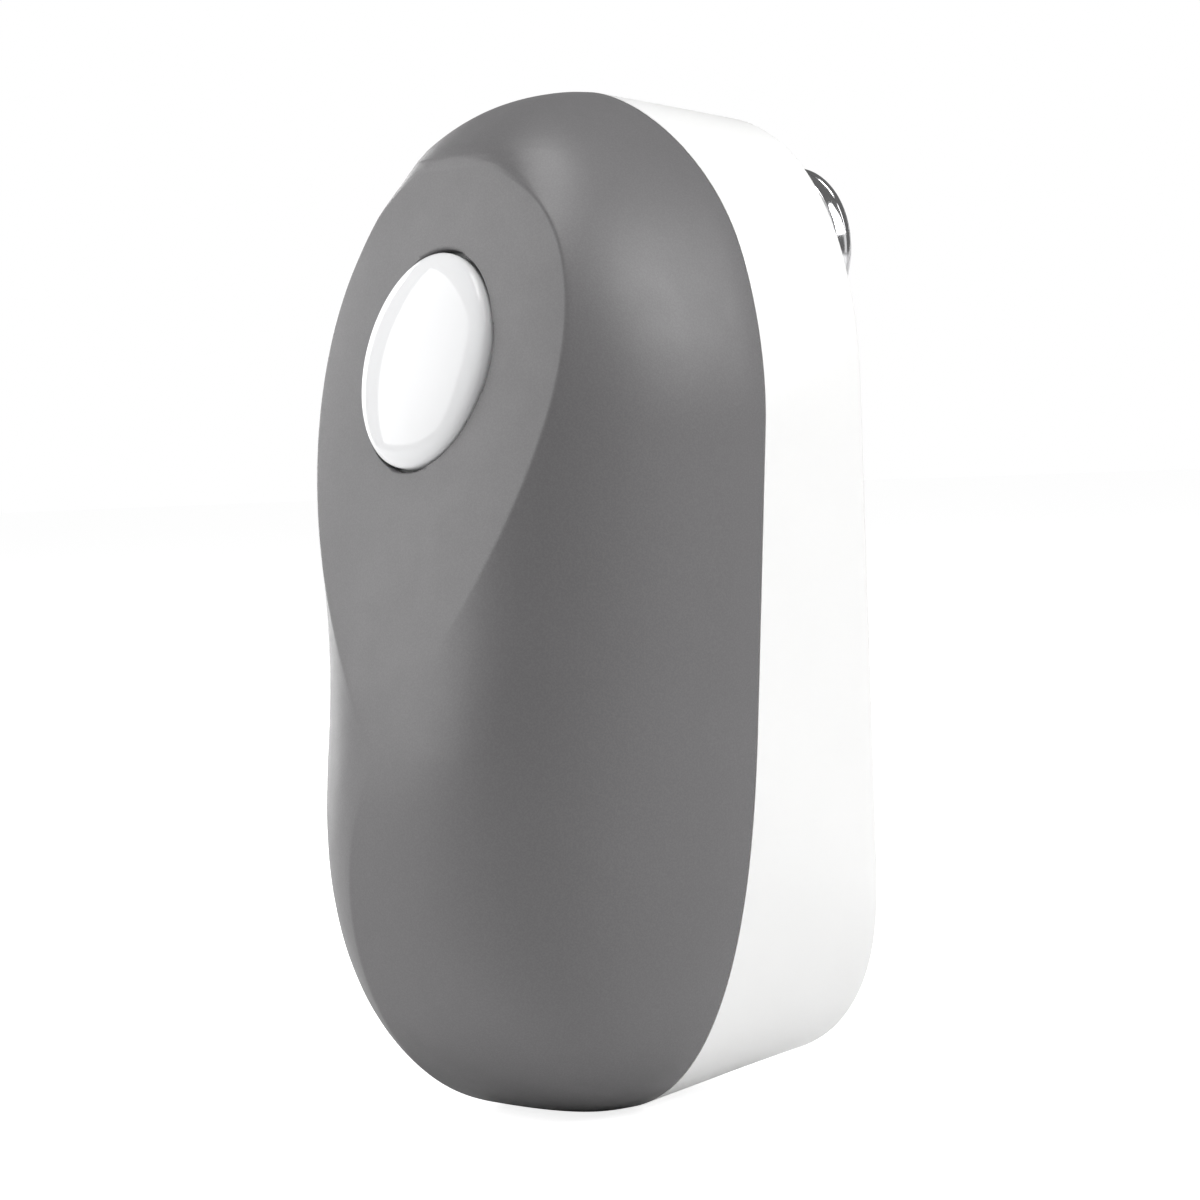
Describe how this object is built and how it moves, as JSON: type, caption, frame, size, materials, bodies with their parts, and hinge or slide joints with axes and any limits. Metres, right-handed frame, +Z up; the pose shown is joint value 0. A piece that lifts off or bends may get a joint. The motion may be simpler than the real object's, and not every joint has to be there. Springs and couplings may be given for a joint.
{
  "type": "electric can opener",
  "caption": "Hand-held battery can opener: grey cover with a drop-shaped panel and round push button, white base, feed wheel, swinging cutter, motor and gear train inside.",
  "frame": {"origin": "middle of the small flat foot on the tail end, on the top cover, where the object stands upright", "axes": "+Z up along the body from the tail to the head, -Y out of the push button side, +Y out of the flat underside that lies on the can, +X to the right seen from the button side"},
  "size_m": [0.084, 0.0883, 0.18],
  "materials": {
    "grey_plastic": "fine-textured matte",
    "white_plastic": "satin",
    "gloss_white": "high gloss",
    "inner_plastic": "moulded natural",
    "gear_plastic": "moulded acetal",
    "black_plastic": "matte",
    "board": "lacquered board",
    "steel": "plain",
    "polished_steel": "polished",
    "spring_steel": "drawn wire",
    "motor_steel": "plated can",
    "brass": "turned",
    "cell_wrap": "printed sleeve without lettering",
    "red_wire": "insulation",
    "black_wire": "insulation"
  },
  "bodies": {
    "body": {"arm_pivot_pin": "steel", "base_shell": "white_plastic", "battery_lead_black": "black_wire", "battery_lead_red": "red_wire", "battery_tray": "inner_plastic", "case_screw_1": "steel", "case_screw_2": "steel", "case_screw_3": "steel", "case_screw_4": "steel", "cell_1": "cell_wrap", "cell_2": "cell_wrap", "cell_3": "cell_wrap", "cell_4": "cell_wrap", "circuit_board": "board", "contact_spring_1": "spring_steel", "contact_spring_2": "spring_steel", "contact_spring_3": "spring_steel", "contact_spring_4": "spring_steel", "drive_shaft_bush": "brass", "first_axle": "steel", "gearbox_front_plate": "inner_plastic", "gearbox_rear_plate": "inner_plastic", "gearbox_screw_1": "steel", "gearbox_screw_2": "steel", "gearbox_screw_3": "steel", "gearbox_spacer_1": "steel", "gearbox_spacer_2": "steel", "gearbox_spacer_3": "steel", "lid_magnet": "polished_steel", "lower_contact_1": "steel", "lower_contact_2": "steel", "motor_can": "motor_steel", "motor_end_cap": "black_plastic", "motor_lead_black": "black_wire", "motor_lead_red": "red_wire", "second_axle": "steel", "switch_body": "black_plastic", "third_axle": "steel", "top_cover": "grey_plastic", "upper_contact_1": "steel", "upper_contact_left": "steel", "upper_contact_right": "steel"},
    "button": {"push_button": "gloss_white", "button_spring": "spring_steel"},
    "switch_key": {"switch_plunger": "inner_plastic"},
    "battery_lid": {"battery_door": "white_plastic"},
    "cutter_carrier": {"cutter_arm": "steel", "arm_spring": "spring_steel", "cutter_axle": "steel", "cutter_cap": "polished_steel"},
    "cutter": {"cutter_wheel": "polished_steel"},
    "drive": {"output_gear": "steel", "drive_shaft": "steel", "feed_wheel": "steel", "feed_wheel_cap": "polished_steel"},
    "third_wheel": {"third_gear": "gear_plastic"},
    "second_wheel": {"second_gear": "gear_plastic"},
    "first_wheel": {"first_gear": "gear_plastic"},
    "motor_rotor": {"motor_pinion": "brass"}
  },
  "joints": [
    {"name": "button_press", "type": "slide", "parent": "body", "child": "button", "axis": [0, 0.9665, -0.2567], "range_m": [0, 0.0025], "stiffness_N_per_m": 700},
    {"name": "switch_travel", "type": "slide", "parent": "body", "child": "switch_key", "axis": [0, 0.9665, -0.2567], "range_m": [0, 0.0025]},
    {"name": "battery_door_swing", "type": "hinge", "parent": "body", "child": "battery_lid", "pos_m": [0, 0.04, 0.0163], "axis": [-1, 0, 0], "range_deg": [0, 100]},
    {"name": "cutter_swing", "type": "hinge", "parent": "body", "child": "cutter_carrier", "pos_m": [0.0186, 0.03, 0.133], "axis": [0, -1, 0], "range_deg": [0, 8], "stiffness_Nm_per_rad": 0.6},
    {"name": "cutter_spin", "type": "hinge", "parent": "cutter_carrier", "child": "cutter", "pos_m": [0.0186, 0.043, 0.151], "axis": [0, 1, 0], "continuous": true},
    {"name": "drive_spin", "type": "hinge", "parent": "body", "child": "drive", "pos_m": [-0.0075, 0.03, 0.151], "axis": [0, 1, 0], "continuous": true},
    {"name": "third_gear_spin", "type": "hinge", "parent": "body", "child": "third_wheel", "pos_m": [-0.0075, 0.03, 0.1302], "axis": [0, 1, 0], "continuous": true},
    {"name": "second_gear_spin", "type": "hinge", "parent": "body", "child": "second_wheel", "pos_m": [0.00979, 0.03, 0.12391], "axis": [0, 1, 0], "continuous": true},
    {"name": "first_gear_spin", "type": "hinge", "parent": "body", "child": "first_wheel", "pos_m": [-0.00528, 0.03, 0.11335], "axis": [0, 1, 0], "continuous": true},
    {"name": "motor_spin", "type": "hinge", "parent": "body", "child": "motor_rotor", "pos_m": [-0.02054, 0.03, 0.10306], "axis": [0, 1, 0], "continuous": true}
  ],
  "couplings": [
    {"joint": "switch_travel", "follows": "button_press", "ratio": 1},
    {"joint": "third_gear_spin", "follows": "drive_spin", "ratio": -3.3333},
    {"joint": "second_gear_spin", "follows": "drive_spin", "ratio": 12},
    {"joint": "first_gear_spin", "follows": "drive_spin", "ratio": -43.2},
    {"joint": "motor_spin", "follows": "drive_spin", "ratio": 155.52}
  ]
}
